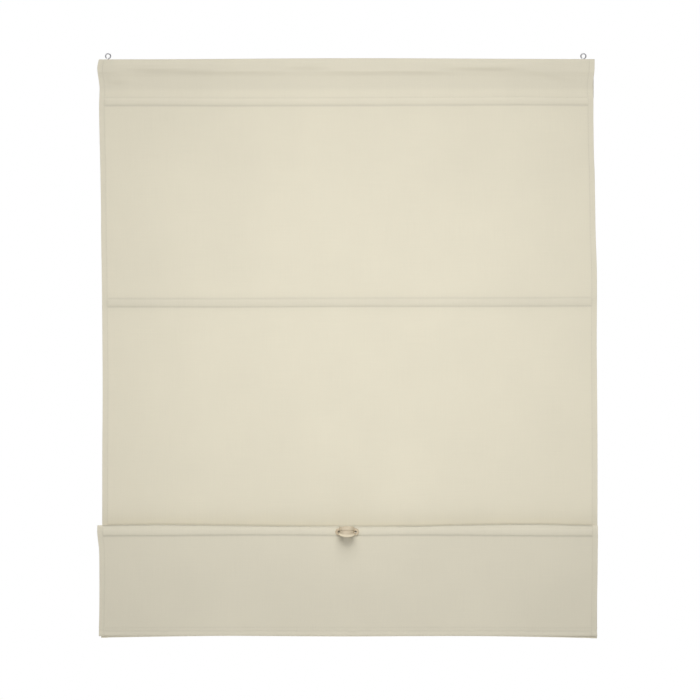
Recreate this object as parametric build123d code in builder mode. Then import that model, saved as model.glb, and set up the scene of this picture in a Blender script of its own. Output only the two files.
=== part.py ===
from build123d import *

import os
from math import acos, asin, degrees, radians, sin

# Cordless roman blind, shown hanging with its lowest rod hooked up in front of the cloth.
# Millimetres. +X runs to the right seen from the room, -Y faces the room, +Z is up.
# The origin is midway between the centres of the two hanging eyes.

# --- driving dimensions ---------------------------------------------------------------------

# cloth
cloth_width = 1000.0
cloth_thickness = 1.0
stitch_margin = 2.0  # cloth beyond a line of stitches
side_hem = 12.0
soft_gap = 0.3  # between the cloth and what lies in or on it
fit_gap = 0.05  # between two hard pieces that fit together

# head lath and hanging eyes
lath_length = 990.0
lath_height = 24.0
lath_depth = 12.0
lath_edge = 2.5
lath_foot_bend = 8.0  # where the cloth leaves the lath
header_seam_bend = 25.0  # where the front layer meets the first rod pocket's stitches
eye_spacing = 960.0
eye_radius = 5.0  # to the middle of the wire
eye_wire = 2.4
eye_bend = 3.0
eye_closing_angle = 245.0
eye_above_cloth = 7.0
eye_shank = 20.0
eye_point = 3.0
eye_tip_radius = 0.3
eye_hole_gap = 0.6  # round the wire, in the cloth

# rods, measured down from the top edge of the cloth
rod_drops = {"rod_1": 86.0, "rod_2": 491.0, "rod_3": 954.0}
rod_diameter = 8.0
rod_wall = 1.0
rod_length = 962.0
plug_head = 3.0
plug_stem = 8.0
plug_edge = 1.2
pocket_height = 16.5  # between its two lines of stitches
pocket_corner = 3.5
stitch_bend = 1.5  # where a pocket leaves its stitches

# raised fold, measured down from the top edge of the cloth
loop_drop = 1166.5
panel_drop = 1161.0
layer_spacing = 7.0
turn_slack = 0.01  # keeps a half-round turn's two arcs just apart
panel_room = 2.6  # between the raised rod and the cloth in front of it

# hem bar
hem_bar_height = 12.0
hem_bar_thickness = 3.0
hem_bar_edge = 1.0
hem_pocket_height = 17.0
hem_bend = 1.5
hem_slope = 4.0  # height over which the hem's back leans to its stitches

# hooks that carry the raised rod
hook_spacing = 480.0
hook_wire = 2.0
hook_back_angle = -30.0
hook_lip_angle = 200.0
hook_slot_gap = 1.2

# leather handle
handle_centre = 3.0
handle_rise = 2.4  # of the handle's middle above the raised rod's axis
handle_span = 34.0  # between the two eyelets
handle_tab_height = 14.0
handle_belly_height = 23.0
handle_thickness = 2.2
handle_belly_inset = 4.0  # from an eyelet's centre in to the side of the loop
handle_belly_flat = 4.0  # across the front of the loop
handle_reach = 27.5
handle_lean = -1.4
handle_foot_gap = 6.3  # from an eyelet's flange to where the strap leaves the cloth
handle_foot_bend = 2.0
handle_waist_bend = 6.0
handle_shoulder = 1.0  # how far the wide middle runs past each eyelet's centre
eyelet_flange = 11.6
eyelet_barrel = 6.2
eyelet_hole = 4.8
eyelet_flange_thickness = 0.8
eyelet_flange_edge = 0.48
eyelet_lip = 0.5
washer_diameter = 8.0
washer_thickness = 0.5

# --- places worked out from them ------------------------------------------------------------

half_cloth = cloth_thickness / 2
rod_radius = rod_diameter / 2
cloth_top = -eye_above_cloth
lath_top = cloth_top - cloth_thickness - soft_gap
lath_bottom = lath_top - lath_height

sheet_y = 0.0
rod_y = sheet_y + half_cloth + soft_gap + rod_radius
riser_y = sheet_y - layer_spacing
raised_tape_y = riser_y - cloth_thickness - soft_gap
raised_rod_y = raised_tape_y + half_cloth - cloth_thickness - soft_gap - rod_radius
panel_y = raised_rod_y - rod_radius - panel_room - half_cloth
panel_face = panel_y - half_cloth

rod_heights = {name: cloth_top - drop for name, drop in rod_drops.items()}
raised_rod_z = rod_heights["rod_3"]
crest_radius = (riser_y - panel_y) / 2 - turn_slack
crest_z = raised_rod_z + pocket_height / 2 + stitch_margin + crest_radius
loop_z = cloth_top - loop_drop + half_cloth
hem_z = cloth_top - panel_drop + half_cloth
hem_seam_z = hem_z + hem_pocket_height
handle_z = raised_rod_z + handle_rise
hem_back_y = panel_y + cloth_thickness + hem_bar_thickness + 2 * soft_gap

tape_length = cloth_width - 2 * side_hem
bulge_depth = rod_radius + soft_gap + half_cloth


def pocket_line(flange_y, axis_y, axis_z):
    """Corners of a rod pocket's cloth, from its top edge down, and the radius at each bend."""
    bulge_y = axis_y + bulge_depth
    stitch, edge = pocket_height / 2, pocket_height / 2 + stitch_margin
    points = [
        (flange_y, axis_z + edge),
        (flange_y, axis_z + stitch),
        (bulge_y, axis_z + rod_radius),
        (bulge_y, axis_z - rod_radius),
        (flange_y, axis_z - stitch),
        (flange_y, axis_z - edge),
    ]
    return points, [stitch_bend, pocket_corner, pocket_corner, stitch_bend]


def cloth_lines():
    """Corners and bends of the cloth's middle line: its back layer, its front layer and its hem."""
    back_edge, bends = pocket_line(sheet_y + cloth_thickness, rod_y, rod_heights["rod_1"])
    lath_side = lath_depth / 2 + soft_gap + half_cloth
    lath_crown = cloth_top - half_cloth
    header_seam_z = rod_heights["rod_1"] + pocket_height / 2
    corner = lath_edge + soft_gap + half_cloth
    loop_bend = layer_spacing / 2 - turn_slack
    hem_middle = ((panel_y + hem_back_y) / 2, hem_z)

    back_layer = [(0, lath_crown), (lath_side, lath_crown), (lath_side, lath_bottom), *back_edge]
    front_layer = [
        (0, lath_crown),
        (-lath_side, lath_crown),
        (-lath_side, lath_bottom),
        (sheet_y, header_seam_z),
        (sheet_y, loop_z),
        (riser_y, loop_z),
        (riser_y, crest_z),
        (panel_y, crest_z),
        (panel_y, hem_z),
        hem_middle,
    ]
    front_bends = [
        corner,
        lath_foot_bend,
        header_seam_bend,
        loop_bend,
        loop_bend,
        crest_radius,
        crest_radius,
        hem_bend,
    ]
    hem_turn = [
        hem_middle,
        (hem_back_y, hem_z),
        (hem_back_y, hem_seam_z - hem_slope),
        (panel_y + cloth_thickness, hem_seam_z),
        (panel_y + cloth_thickness, hem_seam_z + stitch_margin),
    ]
    return [
        (back_layer, [corner, lath_foot_bend, stitch_bend, *bends]),
        (front_layer, front_bends),
        (hem_turn, [hem_bend, hem_bend, hem_bend]),
    ]


def save(piece, name):
    """Label a finished piece and write it to its own STEP file."""
    piece.part.label = name
    export_step(piece.part, f"parts/{name}.step")


os.makedirs("parts", exist_ok=True)

eye_places = {"left": -eye_spacing / 2, "right": eye_spacing / 2}
hook_places = {"left": -hook_spacing / 2, "right": hook_spacing / 2}
eyelet_places = {
    "left": handle_centre - handle_span / 2,
    "right": handle_centre + handle_span / 2,
}

# Wire of a hook: over the rod behind, down between the two rods, under the raised rod.
hook_radius = rod_radius + fit_gap + hook_wire / 2
hook_slant = degrees(asin(2 * hook_radius / (rod_y - raised_rod_y)))
hook_top_angle = 90 + hook_slant  # where the wire leaves the rod behind
hook_fall = (rod_y - raised_rod_y) - 2 * hook_radius * sin(radians(hook_slant))


def hook_height_at(y):
    """Height of the hook's slanting wire above the rods' axes where it crosses depth y."""
    half_way = (rod_y + raised_rod_y) / 2
    top_z = hook_radius * sin(radians(hook_top_angle))
    return top_z * (y - half_way) / (hook_fall / 2)


# --- cloth ----------------------------------------------------------------------------------

with BuildPart() as cloth:
    with BuildSketch(Plane.YZ):
        for points, radii in cloth_lines():
            with BuildLine():
                FilletPolyline(points, radius=radii)
            trace(line_width=cloth_thickness)
    extrude(amount=cloth_width / 2, both=True)
    with BuildSketch(Plane.XY.offset(cloth_top)):
        with Locations(*[(x, 0) for x in eye_places.values()]):
            Circle(eye_wire / 2 + eye_hole_gap)
    extrude(amount=cloth_thickness, both=True, mode=Mode.SUBTRACT)
    for layer_y in (sheet_y, riser_y):
        with BuildSketch(Plane.XZ.offset(-layer_y)):
            with Locations(
                *[(x, raised_rod_z + hook_height_at(layer_y)) for x in hook_places.values()]
            ):
                Rectangle(hook_wire + 2 * hook_slot_gap, 2 * (hook_wire + hook_slot_gap))
        extrude(amount=cloth_thickness, both=True, mode=Mode.SUBTRACT)
    with BuildSketch(Plane.XZ.offset(-panel_y)):
        with Locations(*[(x, handle_z) for x in eyelet_places.values()]):
            Circle(eyelet_barrel / 2 + soft_gap)
    extrude(amount=cloth_thickness, both=True, mode=Mode.SUBTRACT)
save(cloth, "cloth")

# --- head lath, with pilot holes for the hanging eyes -----------------------------------------

with BuildPart() as head_lath:
    with BuildSketch(Plane.YZ):
        with Locations((0, (lath_top + lath_bottom) / 2)):
            RectangleRounded(lath_depth, lath_height, lath_edge)
    extrude(amount=lath_length / 2, both=True)
    with Locations(*[(x, 0, lath_top) for x in eye_places.values()]):
        Cylinder(
            eye_wire / 2 + fit_gap,
            eye_shank,
            align=(Align.CENTER, Align.CENTER, Align.MAX),
            mode=Mode.SUBTRACT,
        )
save(head_lath, "head_lath")

# --- hanging eyes: one bent wire each, screwed into the lath ----------------------------------

eye_lean = degrees(acos(eye_bend / (eye_bend + eye_radius)))
eye_root_z = -(eye_bend + eye_radius) * sin(radians(eye_lean))
shank_tip_z = lath_top - eye_shank + fit_gap + eye_point
for side, x in eye_places.items():
    with BuildPart() as eye_screw:
        with BuildLine(Plane.XZ) as eye_path:
            Line((x, shank_tip_z), (x, eye_root_z))
            CenterArc((x + eye_bend, eye_root_z), eye_bend, 180, -eye_lean)
            CenterArc((x, 0), eye_radius, -eye_lean, eye_closing_angle + eye_lean)
        with BuildSketch(Plane.XY.offset(shank_tip_z)):
            with Locations((x, 0)):
                Circle(eye_wire / 2)
        sweep(path=eye_path.line)
        with Locations((x, 0, shank_tip_z)):
            Cone(
                eye_tip_radius,
                eye_wire / 2,
                eye_point,
                align=(Align.CENTER, Align.CENTER, Align.MAX),
            )
    save(eye_screw, f"eye_screw_{side}")

# --- rods and their end plugs -----------------------------------------------------------------

rod_axes = {name: (rod_y, z) for name, z in rod_heights.items()}
rod_axes["rod_4"] = (raised_rod_y, raised_rod_z)
for name, axis in rod_axes.items():
    with BuildPart() as rod:
        with BuildSketch(Plane.YZ):
            with Locations(axis):
                Circle(rod_radius)
                Circle(rod_radius - rod_wall, mode=Mode.SUBTRACT)
        extrude(amount=rod_length / 2, both=True)
    save(rod, name)
    for side, way in (("left", -1), ("right", 1)):
        with BuildPart() as plug:
            with BuildSketch(Plane.YZ.offset(way * rod_length / 2)):
                with Locations(axis):
                    Circle(rod_radius)
            extrude(amount=way * plug_head)
            fillet(plug.faces().sort_by(Axis.X)[-1 if way > 0 else 0].edges(), plug_edge)
            with BuildSketch(Plane.YZ.offset(way * rod_length / 2)):
                with Locations(axis):
                    Circle(rod_radius - rod_wall - fit_gap)
            extrude(amount=-way * plug_stem)
        save(plug, f"{name}_plug_{side}")

# --- cloth tapes sewn behind the cloth, which hold rods 2, 3 and 4 ----------------------------

tape_sheets = {"rod_2": sheet_y, "rod_3": sheet_y, "rod_4": panel_y}
for name, sheet in tape_sheets.items():
    axis_y, axis_z = rod_axes[name]
    points, radii = pocket_line(sheet + cloth_thickness + soft_gap, axis_y, axis_z)
    with BuildPart() as tape:
        with BuildSketch(Plane.YZ):
            with BuildLine():
                FilletPolyline(points, radius=radii)
            trace(line_width=cloth_thickness)
        extrude(amount=tape_length / 2, both=True)
        if name in ("rod_3", "rod_4"):
            with Locations(*[(x, axis_y, axis_z) for x in hook_places.values()]):
                Box(
                    hook_wire + 2 * hook_slot_gap,
                    4 * rod_diameter,
                    2 * (hook_radius + hook_wire / 2 + soft_gap),
                    mode=Mode.SUBTRACT,
                )
    save(tape, f"{name}_tape")

# --- flat bar in the hem ----------------------------------------------------------------------

with BuildPart() as hem_bar:
    with BuildSketch(Plane.YZ):
        with Locations(
            (
                panel_y + half_cloth + soft_gap + hem_bar_thickness / 2,
                hem_z + half_cloth + soft_gap + hem_bar_height / 2,
            )
        ):
            RectangleRounded(hem_bar_thickness, hem_bar_height, hem_bar_edge)
    extrude(amount=tape_length / 2 - plug_head, both=True)
save(hem_bar, "hem_bar")

# --- wire hooks that hang the raised rod on the rod behind it ---------------------------------

for side, x in hook_places.items():
    with BuildPart() as rod_hook:
        with BuildLine(Plane.YZ.offset(x)) as hook_path:
            over = CenterArc(
                (rod_y, raised_rod_z),
                hook_radius,
                hook_back_angle,
                hook_top_angle - hook_back_angle,
            )
            under = CenterArc(
                (raised_rod_y, raised_rod_z),
                hook_radius,
                hook_top_angle - 180,
                hook_lip_angle - 360 - (hook_top_angle - 180),
            )
            Line(over @ 1, under @ 0)
        with BuildSketch(Plane(origin=over @ 0, z_dir=over % 0)):
            Circle(hook_wire / 2)
        sweep(path=hook_path.wire())
    save(rod_hook, f"rod_hook_{side}")

# --- leather handle: one strip, bowed into a loop, with a flat tab at each end ----------------

tab_y = panel_face - soft_gap - handle_thickness / 2
handle_belly_radius = handle_span / 2 - handle_belly_inset
handle_belly_bend = handle_belly_radius - handle_belly_flat / 2
belly_y = tab_y - handle_reach + handle_thickness / 2 + handle_belly_radius
belly_x = handle_centre + handle_lean
tab_end = handle_span / 2 + handle_tab_height / 2
foot_inset = eyelet_flange / 2 + handle_foot_gap
with BuildPart() as handle_strap:
    with BuildSketch(Plane.XY.offset(handle_z)):
        with BuildLine():
            FilletPolyline(
                (handle_centre - tab_end, tab_y),
                (eyelet_places["left"] + foot_inset, tab_y),
                (belly_x - handle_belly_radius, belly_y + handle_belly_radius / 2),
                (belly_x - handle_belly_radius, belly_y - handle_belly_radius),
                (belly_x + handle_belly_radius, belly_y - handle_belly_radius),
                (belly_x + handle_belly_radius, belly_y + handle_belly_radius / 2),
                (eyelet_places["right"] - foot_inset, tab_y),
                (handle_centre + tab_end, tab_y),
                radius=[
                    handle_foot_bend,
                    handle_waist_bend,
                    handle_belly_bend,
                    handle_belly_bend,
                    handle_waist_bend,
                    handle_foot_bend,
                ],
            )
        trace(line_width=handle_thickness)
    extrude(amount=handle_belly_height / 2, both=True)
    with BuildSketch(Plane.XZ.offset(-tab_y)):
        with Locations((handle_centre, handle_z)):
            SlotOverall(2 * tab_end, handle_tab_height)
            Ellipse(handle_span / 2 + handle_shoulder, handle_belly_height / 2)
    extrude(amount=2 * handle_reach, both=True, mode=Mode.INTERSECT)
    with BuildSketch(Plane.XZ.offset(-tab_y)):
        with Locations(*[(x, handle_z) for x in eyelet_places.values()]):
            Circle(eyelet_barrel / 2 + fit_gap)
    extrude(amount=handle_thickness, both=True, mode=Mode.SUBTRACT)
save(handle_strap, "handle_strap")

# --- tubular eyelets and their back washers, through the handle and the cloth ------------------

eyelet_face = tab_y - handle_thickness / 2
washer_back = panel_y + half_cloth + fit_gap + washer_thickness
for side, x in eyelet_places.items():
    with BuildPart() as eyelet:
        with BuildSketch(Plane.XZ.offset(-eyelet_face)):
            with Locations((x, handle_z)):
                Circle(eyelet_flange / 2)
        extrude(amount=eyelet_flange_thickness)
        rim = eyelet.faces().sort_by(Axis.Y)[0].edges()
        fillet(rim, eyelet_flange_edge)
        with BuildSketch(Plane.XZ.offset(-eyelet_face)):
            with Locations((x, handle_z)):
                Circle(eyelet_barrel / 2)
        extrude(amount=-(washer_back + eyelet_lip - eyelet_face))
        with BuildSketch(Plane.XZ.offset(-washer_back)):
            with Locations((x, handle_z)):
                Circle(eyelet_barrel / 2 + eyelet_lip)
        extrude(amount=-eyelet_lip)
        with BuildSketch(Plane.XZ.offset(-eyelet_face)):
            with Locations((x, handle_z)):
                Circle(eyelet_hole / 2)
        extrude(amount=2 * handle_reach, both=True, mode=Mode.SUBTRACT)
    save(eyelet, f"handle_eyelet_{side}")

    with BuildPart() as washer:
        with BuildSketch(Plane.XZ.offset(-washer_back)):
            with Locations((x, handle_z)):
                Circle(washer_diameter / 2)
                Circle(eyelet_barrel / 2 + fit_gap, mode=Mode.SUBTRACT)
        extrude(amount=washer_thickness)
    save(washer, f"handle_washer_{side}")
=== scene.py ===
"""Cordless roman blind in natural cotton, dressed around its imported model.

The cloth, the sleeves behind it and the leather handle are modelled here from their cut
shapes. The lath, rods, bar, hooks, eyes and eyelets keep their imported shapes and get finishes.
Sizes are in millimetres until a vertex is placed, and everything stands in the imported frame.
"""

import logging
import math
from bisect import bisect_right
from dataclasses import dataclass
from enum import Enum
from typing import Callable, Iterable, Sequence

import bmesh
import bpy
from mathutils import Matrix, Vector


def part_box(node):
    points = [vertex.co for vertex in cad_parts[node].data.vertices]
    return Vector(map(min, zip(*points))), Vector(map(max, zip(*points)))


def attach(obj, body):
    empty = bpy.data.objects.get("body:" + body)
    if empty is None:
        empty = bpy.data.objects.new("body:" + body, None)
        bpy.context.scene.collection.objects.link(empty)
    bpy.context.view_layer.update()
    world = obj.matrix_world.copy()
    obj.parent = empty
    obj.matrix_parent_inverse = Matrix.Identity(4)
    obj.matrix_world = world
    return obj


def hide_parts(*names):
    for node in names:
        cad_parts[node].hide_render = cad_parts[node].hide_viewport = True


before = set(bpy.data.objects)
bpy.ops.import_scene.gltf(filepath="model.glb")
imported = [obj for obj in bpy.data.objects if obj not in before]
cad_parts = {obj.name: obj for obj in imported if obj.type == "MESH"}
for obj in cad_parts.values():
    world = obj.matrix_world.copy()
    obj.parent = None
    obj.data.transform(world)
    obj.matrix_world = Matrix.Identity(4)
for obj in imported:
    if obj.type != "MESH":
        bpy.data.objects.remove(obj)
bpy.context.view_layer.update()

MM = 0.001
BODY = "root"
CUT_MAP = "cut"
STITCH_DRAW_AND_PAINTED_SHADE = "stitch_draw_and_painted_shade"
PAINTED_SHADING = "toned"

log = logging.getLogger("roman_blind")

Colour = tuple[float, float, float, float]  # linear light, with alpha
Curve = Callable[[float], Vector]  # a line of thread, by its length in millimetres


class Slot(str, Enum):
    """The record's material slots."""

    COTTON = "cotton"
    WOOD = "lath_wood"
    ZINC = "zinc_wire"
    ROD = "rod_metal"
    PLUG = "plug_plastic"
    BAR = "bar_steel"
    LEATHER = "leather"
    BRASS = "dark_brass"


class Side(Enum):
    """The two sides of the blind, seen from the room."""

    LEFT = -1
    RIGHT = 1

    @property
    def word(self) -> str:
        """The side's name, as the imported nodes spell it."""
        return self.name.lower()


# --- small helpers ----------------------------------------------------------------------------


def in_mm(node: str) -> tuple[Vector, Vector]:
    """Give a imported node's box in millimetres.

    Args:
        node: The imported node's name.

    Returns:
        Its lowest and highest corners.
    """
    low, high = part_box(node)
    return Vector(low) / MM, Vector(high) / MM


def middle(node: str) -> Vector:
    """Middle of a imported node's box, in millimetres."""
    low, high = in_mm(node)
    return (low + high) / 2


def pair(node: str) -> list[Vector]:
    """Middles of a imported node's left and right copies, in millimetres."""
    return [middle(f"{node}_{side.word}") for side in Side]


def smooth_step(low: float, high: float, value: float) -> float:
    """Rise from 0 at low to 1 at high without a corner at either end."""
    share = min(1.0, max(0.0, (value - low) / (high - low)))
    return share * share * (3 - 2 * share)


def bell(value: float, centre: float, half: float, flatness: int = 2) -> float:
    """A bump of height 1 at centre that has died away a little past half to each side."""
    return math.exp(-(abs((value - centre) / half) ** flatness))


def read_off(places: Sequence[float], values: Sequence[float], place: float) -> float:
    """Read a smooth curve through measured values.

    Args:
        places: Where the values were measured, rising.
        values: The value at each place.
        place: Where to read; beyond the ends the end value holds.

    Returns:
        The curve's value there, by a Catmull-Rom spline.
    """
    if place <= places[0]:
        return values[0]
    if place >= places[-1]:
        return values[-1]
    i = bisect_right(places, place) - 1
    span = places[i + 1] - places[i]
    t = (place - places[i]) / span
    before, after = max(i - 1, 0), min(i + 2, len(places) - 1)
    rise_in = (values[i + 1] - values[before]) / (places[i + 1] - places[before]) * span
    rise_out = (values[after] - values[i]) / (places[after] - places[i]) * span
    return (
        (2 * t**3 - 3 * t**2 + 1) * values[i]
        + (t**3 - 2 * t**2 + t) * rise_in
        + (-2 * t**3 + 3 * t**2) * values[i + 1]
        + (t**3 - t**2) * rise_out
    )


def merged(stops: Iterable[float], least: float) -> list[float]:
    """Sort stops and drop those nearer than least to the one before, keeping both ends."""
    ordered = sorted(stops)
    kept = [ordered[0]]
    for stop in ordered[1:]:
        if stop - kept[-1] >= least:
            kept.append(stop)
    kept[-1] = ordered[-1]
    return kept


def spread(start: float, end: float, step: float) -> list[float]:
    """Even stops from start to end, no further apart than step."""
    count = max(1, math.ceil(abs(end - start) / step - 1e-6))
    return [start + (end - start) * i / count for i in range(count + 1)]


# --- routes: the lines that cloth and leather follow ------------------------------------------


@dataclass(frozen=True)
class Place:
    """One place on a route: its point and the way the route heads there, in the route's plane."""

    point: tuple[float, float]
    heading: tuple[float, float]

    @property
    def right_side(self) -> tuple[float, float]:
        """Unit direction out of the cloth's right side."""
        return (self.heading[1], -self.heading[0])


@dataclass(frozen=True)
class Run:
    """A straight or round stretch of a route."""

    start: float
    length: float
    origin: tuple[float, float]
    heading: tuple[float, float]
    radius: float = 0.0
    turn: float = 0.0  # signed angle; 0 on a straight stretch

    def at(self, along: float) -> Place:
        """Place at a distance along the whole route that falls on this stretch."""
        went = along - self.start
        (x, y), (hx, hy) = self.origin, self.heading
        if not self.turn:
            return Place((x + hx * went, y + hy * went), self.heading)
        way = math.copysign(1.0, self.turn)
        angle = self.turn * went / self.length
        out_x, out_y = -hy * way, hx * way
        cos, sin = math.cos(angle), math.sin(angle)
        ahead, aside = self.radius * abs(sin), self.radius * (1 - cos)
        point = (x + hx * ahead + out_x * aside, y + hy * ahead + out_y * aside)
        return Place(point, (hx * cos - hy * sin, hx * sin + hy * cos))


class Route:
    """A line of straight runs joined by round turns, walked by its length in millimetres."""

    def __init__(self, corners: Sequence[tuple[float, float]], bends: Sequence[float]) -> None:
        """Lay the route out.

        Args:
            corners: Its end points and the corners between them, in order.
            bends: The radius at each corner between the ends.
        """
        self.runs: list[Run] = []
        self.corner_marks: list[float] = []
        self.straight: list[Run] = []
        points = [Vector(c) for c in corners]
        here, walked = points[0], 0.0
        for i in range(1, len(points)):
            leg = (points[i] - points[i - 1]).normalized()
            if i < len(points) - 1:
                onward = (points[i + 1] - points[i]).normalized()
                turn = math.atan2(leg.x * onward.y - leg.y * onward.x, leg.dot(onward))
                cut = bends[i - 1] * math.tan(abs(turn) / 2)
            else:
                turn, cut = 0.0, 0.0
            end = points[i] - leg * cut
            run = Run(walked, (end - here).length, tuple(here), tuple(leg))
            self.runs.append(run)
            self.straight.append(run)
            walked += run.length
            if turn:
                radius = bends[i - 1]
                arc = Run(walked, radius * abs(turn), tuple(end), tuple(leg), radius, turn)
                self.runs.append(arc)
                self.corner_marks.append(walked + arc.length / 2)
                walked += arc.length
                here = points[i] + onward * cut
        self.length = walked
        self._starts = [run.start for run in self.runs]

    def at(self, along: float) -> Place:
        """Place at a distance along the route."""
        along = min(self.length, max(0.0, along))
        return self.runs[max(0, bisect_right(self._starts, along) - 1)].at(along)

    def at_height(self, leg: int, height: float) -> float:
        """Distance along the route where one of its straight legs passes a height."""
        run = self.straight[leg]
        return run.start + (height - run.origin[1]) / run.heading[1]

    def stops(self, step: float, arc_step: float = 16.0) -> list[float]:
        """List stops that carry the route's shape.

        Args:
            step: The longest gap on a straight run, in millimetres.
            arc_step: The longest gap on a turn, in degrees.

        Returns:
            Distances along the route, from 0 to its length.
        """
        found = [0.0, self.length]
        for run in self.runs:
            if run.turn:
                count = max(2, math.ceil(math.degrees(abs(run.turn)) / arc_step))
                found += [run.start + run.length * i / count for i in range(count + 1)]
            elif run.length > 0:
                found += spread(run.start, run.start + run.length, step)
        return found


# --- finishes ---------------------------------------------------------------------------------


class Graph:
    """A material's node graph, with the few moves the finishes share."""

    def __init__(self, name: str) -> None:
        """Start an empty graph in a new material.

        Args:
            name: The material's name.
        """
        self.material = bpy.data.materials.new(name)
        self.material.use_nodes = True
        self.tree = self.material.node_tree
        self.tree.nodes.clear()
        self.output = self.tree.nodes.new("ShaderNodeOutputMaterial")

    def add(self, kind: str, links: dict | None = None, **settings: object) -> bpy.types.Node:
        """Add a node.

        Args:
            kind: The node's type name.
            links: Values or sockets by input name or number.
            settings: Attributes to set on the node.

        Returns:
            The new node.
        """
        node = self.tree.nodes.new(kind)
        for key, value in settings.items():
            setattr(node, key, value)
        for key, value in (links or {}).items():
            if isinstance(value, bpy.types.NodeSocket):
                self.tree.links.new(value, node.inputs[key])
            else:
                node.inputs[key].default_value = value
        return node

    def math(self, operation: str, first: object, second: object = 0.0) -> bpy.types.NodeSocket:
        """Add a Math node and give its result."""
        return self.add("ShaderNodeMath", {0: first, 1: second}, operation=operation).outputs[0]

    def blend(
        self, share: object, first: object, second: object, mode: str = "MIX"
    ) -> bpy.types.NodeSocket:
        """Mix two colours and give the result.

        Args:
            share: How much of the second, a number or a socket.
            first: The first colour or its socket.
            second: The second colour or its socket.
            mode: The blend mode.

        Returns:
            The colour socket of the mix.
        """
        links = {0: share, 6: first, 7: second}
        node = self.add("ShaderNodeMix", links, data_type="RGBA", blend_type=mode)
        return node.outputs[2]

    def object_space(self, scale: Sequence[float]) -> bpy.types.NodeSocket:
        """Object coordinates in metres, scaled along each axis."""
        place = self.add("ShaderNodeTexCoord").outputs["Object"]
        return self.add("ShaderNodeMapping", {"Vector": place, "Scale": scale}).outputs[0]

    def cut_space(self, scale: Sequence[float]) -> bpy.types.NodeSocket:
        """The cloth's own flat coordinates in metres, scaled along each axis."""
        place = self.add("ShaderNodeUVMap", uv_map=CUT_MAP).outputs[0]
        return self.add("ShaderNodeMapping", {"Vector": place, "Scale": scale}).outputs[0]

    def noise(
        self, place: bpy.types.NodeSocket, scale: float, detail: float = 2.0, rough: float = 0.5
    ) -> bpy.types.NodeSocket:
        """Noise from 0 to 1 at a place socket."""
        links = {"Vector": place, "Scale": scale, "Detail": detail, "Roughness": rough}
        return self.add("ShaderNodeTexNoise", links).outputs["Fac"]

    def wave(self, place: bpy.types.NodeSocket, axis: str, period: float) -> bpy.types.NodeSocket:
        """Bands across an axis that repeat every period metres, from 0 to 1."""
        links = {"Vector": place, "Scale": math.tau / 20 / period}
        return self.add(
            "ShaderNodeTexWave", links, wave_type="BANDS", bands_direction=axis
        ).outputs["Fac"]

    def span(
        self, value: bpy.types.NodeSocket, low: float, high: float, to_low: float, to_high: float
    ) -> bpy.types.NodeSocket:
        """Stretch a value's range from low..high to to_low..to_high."""
        links = {0: value, 1: low, 2: high, 3: to_low, 4: to_high}
        return self.add("ShaderNodeMapRange", links).outputs[0]

    def bump(
        self,
        height: bpy.types.NodeSocket,
        depth: float,
        strength: float = 1.0,
        under: bpy.types.NodeSocket | None = None,
    ) -> bpy.types.NodeSocket:
        """Relief from a height socket.

        Args:
            height: The height, from 0 to 1.
            depth: What a height of 1 stands for, in metres.
            strength: How much of the relief shows.
            under: A normal that this relief adds to.

        Returns:
            The normal socket.
        """
        links = {"Height": height, "Distance": depth, "Strength": strength}
        if under is not None:
            links["Normal"] = under
        return self.add("ShaderNodeBump", links).outputs[0]

    def finish(self, shader: bpy.types.Node) -> bpy.types.Material:
        """Send a shader to the output and give the material."""
        self.tree.links.new(shader.outputs[0], self.output.inputs["Surface"])
        return self.material


def linear(red: int, green: int, blue: int) -> Colour:
    """A screen colour from 0 to 255 as linear light with full alpha."""

    def one(value: int) -> float:
        """One channel."""
        share = value / 255
        return share / 12.92 if share <= 0.04045 else ((share + 0.055) / 1.055) ** 2.4

    return (one(red), one(green), one(blue), 1.0)


class Finish:
    """A procedural finish; each kind lays its own nodes."""

    name: str

    def build(self) -> bpy.types.Material:
        """Build the node material."""
        g = Graph(self.name)
        return g.finish(self.shade(g))

    def shade(self, g: Graph) -> bpy.types.Node:
        """Lay the nodes in a graph and give the shader they end in."""
        raise NotImplementedError


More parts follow.
